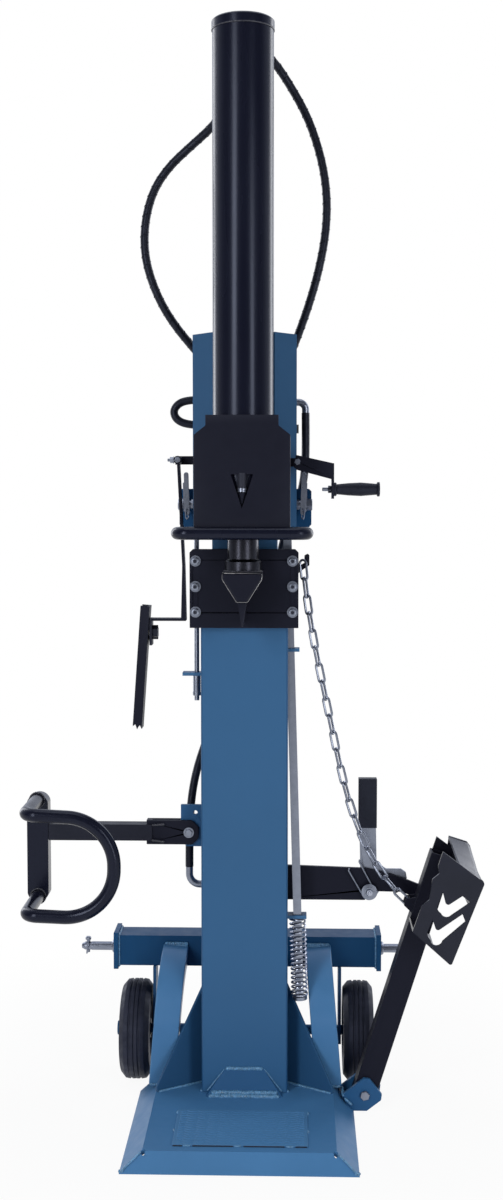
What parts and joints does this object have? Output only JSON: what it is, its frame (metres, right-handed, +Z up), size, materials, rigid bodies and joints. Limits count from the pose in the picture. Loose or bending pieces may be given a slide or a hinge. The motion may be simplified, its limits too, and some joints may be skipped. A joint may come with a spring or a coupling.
{
  "type": "vertical log splitter",
  "caption": "Tall hydraulic log splitter for a tractor: base plate, column, upright ram with knife carriage, log lifter with chain, log holder, two hand levers and wheels.",
  "frame": {"origin": "on the ground under the centre of the column, in the underside of the sole plate", "axes": "+Z up along the column; +X towards the lifter side, along the lower link pins; the knife faces -Y"},
  "size_m": [1.0995, 0.735, 2.574],
  "materials": {
    "blue_paint": "satin powder coat",
    "blue_base": "satin powder coat",
    "black_paint": "matt powder coat",
    "black_gloss": "semi-gloss paint",
    "zinc": "bright zinc plating",
    "machined_steel": "machined",
    "chrome_rod": "dark hard chrome",
    "slide_bronze": "sliding bronze",
    "tyre_rubber": "matt rubber",
    "black_plastic": "moulded",
    "hose_rubber": "spiral wrapped rubber",
    "cast_housing": "cast, painted",
    "pump_aluminium": "die cast"
  },
  "bodies": {
    "frame": {"base_plate": "blue_base", "base_ribs": "blue_base", "grip_plate": "blue_base", "column": "blue_paint", "guide_plate": "blue_paint", "front_gusset": "blue_paint", "side_gussets": "blue_paint", "leg_left": "blue_paint", "leg_right": "blue_paint", "crossbar": "blue_paint", "link_pins": "zinc", "wheel_axle": "blue_paint", "head": "blue_paint", "cylinder_tube": "black_gloss", "guard_plate": "black_paint", "ring_bar": "black_gloss", "lifter_bracket": "blue_paint", "pivot_bolts": "zinc", "latch_arm": "black_paint", "latch_spring": "zinc", "holder_bracket": "blue_paint", "lever_mounts": "black_paint", "control_spring": "zinc", "return_rod": "zinc", "rod_guides": "blue_paint", "gearbox": "cast_housing", "pump": "pump_aluminium", "top_link_bracket": "blue_paint", "valve_block": "cast_housing", "hose_left": "hose_rubber", "hose_right": "hose_rubber", "hose_set": "hose_rubber", "hose_fittings": "zinc"},
    "carriage": {"piston_rod": "chrome_rod", "knife": "black_paint", "carriage_plate": "black_paint", "carriage_sleeve": "black_paint", "slide_pads": "slide_bronze", "carriage_bolts": "zinc", "chain_hook": "black_paint"},
    "wheel_left": {"tyre_left": "tyre_rubber", "wheel_hub_left": "black_plastic"},
    "wheel_right": {"tyre_right": "tyre_rubber", "wheel_hub_right": "black_plastic"},
    "lifter": {"lifter_arm": "black_paint", "lifter_cradle": "black_paint"},
    "chain": {"lifting_chain": "zinc"},
    "latch": {"latch_lever": "zinc", "latch_grip": "black_plastic"},
    "holder": {"holder_arm": "black_paint", "holder_loop": "black_gloss"},
    "left_control": {"left_lever": "black_paint", "left_claw": "black_paint"},
    "claw_knob": {"star_knob": "black_plastic"},
    "right_control": {"right_lever": "black_paint"},
    "control_grip": {"right_grip": "black_plastic"},
    "lock_left": {"lock_pin_left": "zinc"},
    "lock_right": {"lock_pin_right": "zinc"},
    "stop_rod": {"control_rod": "zinc"},
    "pto": {"pto_shaft": "machined_steel"}
  },
  "joints": [
    {"name": "carriage_slide", "type": "slide", "parent": "frame", "child": "carriage", "axis": [0, 0, 1], "range_m": [-0.87, 0]},
    {"name": "lifter_hinge", "type": "hinge", "parent": "frame", "child": "lifter", "pos_m": [0.2927, -0.049, 0.0395], "axis": [0, 1, 0], "range_deg": [0, 64.01]},
    {"name": "chain_swing", "type": "hinge", "parent": "lifter", "child": "chain", "pos_m": [0.39555, -0.049, 0.51036], "axis": [0, 1, 0], "range_deg": [-109.95, 0], "deforming": ["lifting_chain"]},
    {"name": "wheel_left_spin", "type": "hinge", "parent": "frame", "child": "wheel_left", "pos_m": [-0.2825, 0.127, 0.126], "axis": [1, 0, 0], "continuous": true},
    {"name": "wheel_right_spin", "type": "hinge", "parent": "frame", "child": "wheel_right", "pos_m": [0.2825, 0.127, 0.126], "axis": [1, 0, 0], "continuous": true},
    {"name": "latch_pivot", "type": "hinge", "parent": "frame", "child": "latch", "pos_m": [0.3048, 0.0183, 0.5216], "axis": [0, 1, 0], "range_deg": [-28, 0], "stiffness_Nm_per_rad": 6, "springref_deg": 14.32},
    {"name": "holder_hinge", "type": "hinge", "parent": "frame", "child": "holder", "pos_m": [-0.1382, -0.02, 0.6727], "axis": [0, 1, 0], "range_deg": [0, 50]},
    {"name": "left_control_pivot", "type": "hinge", "parent": "frame", "child": "left_control", "pos_m": [-0.155, -0.104, 1.579], "axis": [0, 1, 0], "range_deg": [0, 14], "stiffness_Nm_per_rad": 30, "springref_deg": -5.73},
    {"name": "claw_knob_spin", "type": "hinge", "parent": "left_control", "child": "claw_knob", "pos_m": [-0.216, -0.104, 1.171], "axis": [1, 0, 0], "continuous": true},
    {"name": "right_control_pivot", "type": "hinge", "parent": "frame", "child": "right_control", "pos_m": [0.126, -0.105, 1.574], "axis": [0, 1, 0], "range_deg": [0, 18], "stiffness_Nm_per_rad": 20, "springref_deg": -14.32},
    {"name": "grip_spin", "type": "hinge", "parent": "right_control", "child": "control_grip", "pos_m": [0.26, -0.105, 1.51], "axis": [1, 0, 0], "continuous": true},
    {"name": "lock_left_slide", "type": "slide", "parent": "frame", "child": "lock_left", "axis": [-1, 0, 0], "range_m": [0, 0.04]},
    {"name": "lock_right_slide", "type": "slide", "parent": "frame", "child": "lock_right", "axis": [1, 0, 0], "range_m": [0, 0.04]},
    {"name": "stop_rod_slide", "type": "slide", "parent": "frame", "child": "stop_rod", "axis": [-0.0281, 0, 0.9996], "range_m": [0, 0.03], "stiffness_N_per_m": 1500, "springref_m": -0.03, "deforming": ["control_spring"]},
    {"name": "pto_spin", "type": "hinge", "parent": "frame", "child": "pto", "pos_m": [0, 0.2, 0.575], "axis": [0, 1, 0], "continuous": true}
  ],
  "couplings": [
    {"joint": "lifter_hinge", "follows": "carriage_slide", "rad_per_m": -1.2839},
    {"joint": "chain_swing", "follows": "carriage_slide", "rad_per_m": 2.2047}
  ]
}
